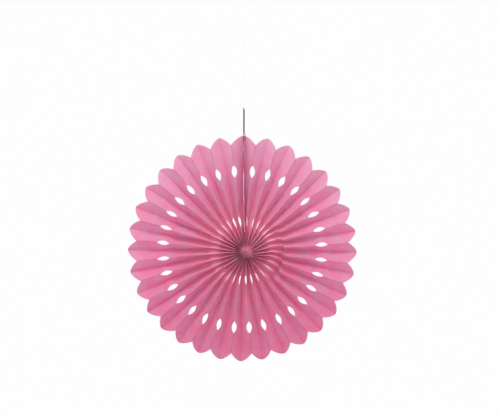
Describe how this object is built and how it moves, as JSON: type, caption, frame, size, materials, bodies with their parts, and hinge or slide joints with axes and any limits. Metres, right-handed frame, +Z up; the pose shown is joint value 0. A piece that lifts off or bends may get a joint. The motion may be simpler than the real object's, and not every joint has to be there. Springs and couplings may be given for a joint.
{
  "type": "tissue paper fan decoration",
  "caption": "Round hanging fan of pleated tissue leaves with scalloped petals, almond holes, end cards, a wire hanger and a thread loop.",
  "frame": {"origin": "top of the thread loop, where a hook holds the fan up", "axes": "+Z up, the fan's disc in the XZ plane, its front (the almond-hole ridges) towards -Y"},
  "size_m": [0.4, 0.0295, 0.6119],
  "materials": {
    "tissue": "pink tissue paper, matte and slightly see-through",
    "card": "pink card, matte",
    "tape": "double-sided tape",
    "wire": "drawn steel wire, dull",
    "thread": "white twisted thread"
  },
  "bodies": {
    "hanging_thread": {"thread_loop": "thread"},
    "knot": {"thread_knot": "thread"},
    "hanger": {"hanger_wire": "wire"},
    "right_end": {"end_card_right": "card", "seam_tape": "tape", "core_thread": "thread", "leaf_01": "tissue"},
    "leaf_02_body": {"leaf_02": "tissue"},
    "leaf_03_body": {"leaf_03": "tissue"},
    "leaf_04_body": {"leaf_04": "tissue"},
    "leaf_05_body": {"leaf_05": "tissue"},
    "leaf_06_body": {"leaf_06": "tissue"},
    "leaf_07_body": {"leaf_07": "tissue"},
    "leaf_08_body": {"leaf_08": "tissue"},
    "leaf_09_body": {"leaf_09": "tissue"},
    "leaf_10_body": {"leaf_10": "tissue"},
    "leaf_11_body": {"leaf_11": "tissue"},
    "leaf_12_body": {"leaf_12": "tissue"},
    "leaf_13_body": {"leaf_13": "tissue"},
    "leaf_14_body": {"leaf_14": "tissue"},
    "leaf_15_body": {"leaf_15": "tissue"},
    "leaf_16_body": {"leaf_16": "tissue"},
    "leaf_17_body": {"leaf_17": "tissue"},
    "leaf_18_body": {"leaf_18": "tissue"},
    "leaf_19_body": {"leaf_19": "tissue"},
    "leaf_20_body": {"leaf_20": "tissue"},
    "leaf_21_body": {"leaf_21": "tissue"},
    "leaf_22_body": {"leaf_22": "tissue"},
    "leaf_23_body": {"leaf_23": "tissue"},
    "leaf_24_body": {"leaf_24": "tissue"},
    "leaf_25_body": {"leaf_25": "tissue"},
    "leaf_26_body": {"leaf_26": "tissue"},
    "leaf_27_body": {"leaf_27": "tissue"},
    "leaf_28_body": {"leaf_28": "tissue"},
    "leaf_29_body": {"leaf_29": "tissue"},
    "leaf_30_body": {"leaf_30": "tissue"},
    "leaf_31_body": {"leaf_31": "tissue"},
    "leaf_32_body": {"leaf_32": "tissue"},
    "left_end": {"leaf_33": "tissue", "end_card_left": "card"}
  },
  "joints": [
    {"name": "turn_on_thread", "type": "hinge", "parent": "hanging_thread", "child": "knot", "pos_m": [0, 0, -0.16326], "axis": [0, 0, 1], "continuous": true},
    {"name": "swing_on_eye", "type": "hinge", "parent": "knot", "child": "hanger", "pos_m": [0, 0, -0.16326], "axis": [1, 0, 0], "range_deg": [-60, 60]},
    {"name": "swing_in_hole", "type": "hinge", "parent": "hanger", "child": "right_end", "pos_m": [0, 0, -0.21996], "axis": [1, 0, 0], "range_deg": [-75, 40]},
    {"name": "open_fan", "type": "hinge", "parent": "right_end", "child": "left_end", "pos_m": [0, 0, -0.41186], "axis": [0, -1, 0], "range_deg": [0, 356.5], "deforming": ["leaf_01", "leaf_02", "leaf_03", "leaf_04", "leaf_05", "leaf_06", "leaf_07", "leaf_08", "leaf_09", "leaf_10", "leaf_11", "leaf_12", "leaf_13", "leaf_14", "leaf_15", "leaf_16", "leaf_17", "leaf_18", "leaf_19", "leaf_20", "leaf_21", "leaf_22", "leaf_23", "leaf_24", "leaf_25", "leaf_26", "leaf_27", "leaf_28", "leaf_29", "leaf_30", "leaf_31", "leaf_32", "leaf_33"]},
    {"name": "fold_leaf_02", "type": "hinge", "parent": "right_end", "child": "leaf_02_body", "pos_m": [0, 0, -0.41186], "axis": [0, -1, 0], "range_deg": [0, 11.81]},
    {"name": "fold_leaf_03", "type": "hinge", "parent": "right_end", "child": "leaf_03_body", "pos_m": [0, 0, -0.41186], "axis": [0, -1, 0], "range_deg": [0, 22.91]},
    {"name": "fold_leaf_04", "type": "hinge", "parent": "right_end", "child": "leaf_04_body", "pos_m": [0, 0, -0.41186], "axis": [0, -1, 0], "range_deg": [0, 34.01]},
    {"name": "fold_leaf_05", "type": "hinge", "parent": "right_end", "child": "leaf_05_body", "pos_m": [0, 0, -0.41186], "axis": [0, -1, 0], "range_deg": [0, 45.1]},
    {"name": "fold_leaf_06", "type": "hinge", "parent": "right_end", "child": "leaf_06_body", "pos_m": [0, 0, -0.41186], "axis": [0, -1, 0], "range_deg": [0, 56.2]},
    {"name": "fold_leaf_07", "type": "hinge", "parent": "right_end", "child": "leaf_07_body", "pos_m": [0, 0, -0.41186], "axis": [0, -1, 0], "range_deg": [0, 67.3]},
    {"name": "fold_leaf_08", "type": "hinge", "parent": "right_end", "child": "leaf_08_body", "pos_m": [0, 0, -0.41186], "axis": [0, -1, 0], "range_deg": [0, 78.39]},
    {"name": "fold_leaf_09", "type": "hinge", "parent": "right_end", "child": "leaf_09_body", "pos_m": [0, 0, -0.41186], "axis": [0, -1, 0], "range_deg": [0, 89.49]},
    {"name": "fold_leaf_10", "type": "hinge", "parent": "right_end", "child": "leaf_10_body", "pos_m": [0, 0, -0.41186], "axis": [0, -1, 0], "range_deg": [0, 100.58]},
    {"name": "fold_leaf_11", "type": "hinge", "parent": "right_end", "child": "leaf_11_body", "pos_m": [0, 0, -0.41186], "axis": [0, -1, 0], "range_deg": [0, 111.68]},
    {"name": "fold_leaf_12", "type": "hinge", "parent": "right_end", "child": "leaf_12_body", "pos_m": [0, 0, -0.41186], "axis": [0, -1, 0], "range_deg": [0, 122.78]},
    {"name": "fold_leaf_13", "type": "hinge", "parent": "right_end", "child": "leaf_13_body", "pos_m": [0, 0, -0.41186], "axis": [0, -1, 0], "range_deg": [0, 133.87]},
    {"name": "fold_leaf_14", "type": "hinge", "parent": "right_end", "child": "leaf_14_body", "pos_m": [0, 0, -0.41186], "axis": [0, -1, 0], "range_deg": [0, 144.97]},
    {"name": "fold_leaf_15", "type": "hinge", "parent": "right_end", "child": "leaf_15_body", "pos_m": [0, 0, -0.41186], "axis": [0, -1, 0], "range_deg": [0, 156.07]},
    {"name": "fold_leaf_16", "type": "hinge", "parent": "right_end", "child": "leaf_16_body", "pos_m": [0, 0, -0.41186], "axis": [0, -1, 0], "range_deg": [0, 167.16]},
    {"name": "fold_leaf_17", "type": "hinge", "parent": "right_end", "child": "leaf_17_body", "pos_m": [0, 0, -0.41186], "axis": [0, -1, 0], "range_deg": [0, 178.26]},
    {"name": "fold_leaf_18", "type": "hinge", "parent": "right_end", "child": "leaf_18_body", "pos_m": [0, 0, -0.41186], "axis": [0, -1, 0], "range_deg": [0, 189.36]},
    {"name": "fold_leaf_19", "type": "hinge", "parent": "right_end", "child": "leaf_19_body", "pos_m": [0, 0, -0.41186], "axis": [0, -1, 0], "range_deg": [0, 200.45]},
    {"name": "fold_leaf_20", "type": "hinge", "parent": "right_end", "child": "leaf_20_body", "pos_m": [0, 0, -0.41186], "axis": [0, -1, 0], "range_deg": [0, 211.55]},
    {"name": "fold_leaf_21", "type": "hinge", "parent": "right_end", "child": "leaf_21_body", "pos_m": [0, 0, -0.41186], "axis": [0, -1, 0], "range_deg": [0, 222.65]},
    {"name": "fold_leaf_22", "type": "hinge", "parent": "right_end", "child": "leaf_22_body", "pos_m": [0, 0, -0.41186], "axis": [0, -1, 0], "range_deg": [0, 233.74]},
    {"name": "fold_leaf_23", "type": "hinge", "parent": "right_end", "child": "leaf_23_body", "pos_m": [0, 0, -0.41186], "axis": [0, -1, 0], "range_deg": [0, 244.84]},
    {"name": "fold_leaf_24", "type": "hinge", "parent": "right_end", "child": "leaf_24_body", "pos_m": [0, 0, -0.41186], "axis": [0, -1, 0], "range_deg": [0, 255.94]},
    {"name": "fold_leaf_25", "type": "hinge", "parent": "right_end", "child": "leaf_25_body", "pos_m": [0, 0, -0.41186], "axis": [0, -1, 0], "range_deg": [0, 267.03]},
    {"name": "fold_leaf_26", "type": "hinge", "parent": "right_end", "child": "leaf_26_body", "pos_m": [0, 0, -0.41186], "axis": [0, -1, 0], "range_deg": [0, 278.13]},
    {"name": "fold_leaf_27", "type": "hinge", "parent": "right_end", "child": "leaf_27_body", "pos_m": [0, 0, -0.41186], "axis": [0, -1, 0], "range_deg": [0, 289.23]},
    {"name": "fold_leaf_28", "type": "hinge", "parent": "right_end", "child": "leaf_28_body", "pos_m": [0, 0, -0.41186], "axis": [0, -1, 0], "range_deg": [0, 300.32]},
    {"name": "fold_leaf_29", "type": "hinge", "parent": "right_end", "child": "leaf_29_body", "pos_m": [0, 0, -0.41186], "axis": [0, -1, 0], "range_deg": [0, 311.42]},
    {"name": "fold_leaf_30", "type": "hinge", "parent": "right_end", "child": "leaf_30_body", "pos_m": [0, 0, -0.41186], "axis": [0, -1, 0], "range_deg": [0, 322.51]},
    {"name": "fold_leaf_31", "type": "hinge", "parent": "right_end", "child": "leaf_31_body", "pos_m": [0, 0, -0.41186], "axis": [0, -1, 0], "range_deg": [0, 333.61]},
    {"name": "fold_leaf_32", "type": "hinge", "parent": "right_end", "child": "leaf_32_body", "pos_m": [0, 0, -0.41186], "axis": [0, -1, 0], "range_deg": [0, 344.71]}
  ],
  "couplings": [
    {"joint": "fold_leaf_02", "follows": "open_fan", "ratio": 0.033108},
    {"joint": "fold_leaf_03", "follows": "open_fan", "ratio": 0.064234},
    {"joint": "fold_leaf_04", "follows": "open_fan", "ratio": 0.09536},
    {"joint": "fold_leaf_05", "follows": "open_fan", "ratio": 0.12649},
    {"joint": "fold_leaf_06", "follows": "open_fan", "ratio": 0.15761},
    {"joint": "fold_leaf_07", "follows": "open_fan", "ratio": 0.18874},
    {"joint": "fold_leaf_08", "follows": "open_fan", "ratio": 0.21987},
    {"joint": "fold_leaf_09", "follows": "open_fan", "ratio": 0.25099},
    {"joint": "fold_leaf_10", "follows": "open_fan", "ratio": 0.28212},
    {"joint": "fold_leaf_11", "follows": "open_fan", "ratio": 0.31324},
    {"joint": "fold_leaf_12", "follows": "open_fan", "ratio": 0.34437},
    {"joint": "fold_leaf_13", "follows": "open_fan", "ratio": 0.3755},
    {"joint": "fold_leaf_14", "follows": "open_fan", "ratio": 0.40662},
    {"joint": "fold_leaf_15", "follows": "open_fan", "ratio": 0.43775},
    {"joint": "fold_leaf_16", "follows": "open_fan", "ratio": 0.46887},
    {"joint": "fold_leaf_17", "follows": "open_fan", "ratio": 0.5},
    {"joint": "fold_leaf_18", "follows": "open_fan", "ratio": 0.53113},
    {"joint": "fold_leaf_19", "follows": "open_fan", "ratio": 0.56225},
    {"joint": "fold_leaf_20", "follows": "open_fan", "ratio": 0.59338},
    {"joint": "fold_leaf_21", "follows": "open_fan", "ratio": 0.6245},
    {"joint": "fold_leaf_22", "follows": "open_fan", "ratio": 0.65563},
    {"joint": "fold_leaf_23", "follows": "open_fan", "ratio": 0.68676},
    {"joint": "fold_leaf_24", "follows": "open_fan", "ratio": 0.71788},
    {"joint": "fold_leaf_25", "follows": "open_fan", "ratio": 0.74901},
    {"joint": "fold_leaf_26", "follows": "open_fan", "ratio": 0.78014},
    {"joint": "fold_leaf_27", "follows": "open_fan", "ratio": 0.81126},
    {"joint": "fold_leaf_28", "follows": "open_fan", "ratio": 0.84239},
    {"joint": "fold_leaf_29", "follows": "open_fan", "ratio": 0.87351},
    {"joint": "fold_leaf_30", "follows": "open_fan", "ratio": 0.90464},
    {"joint": "fold_leaf_31", "follows": "open_fan", "ratio": 0.93577},
    {"joint": "fold_leaf_32", "follows": "open_fan", "ratio": 0.96689}
  ]
}
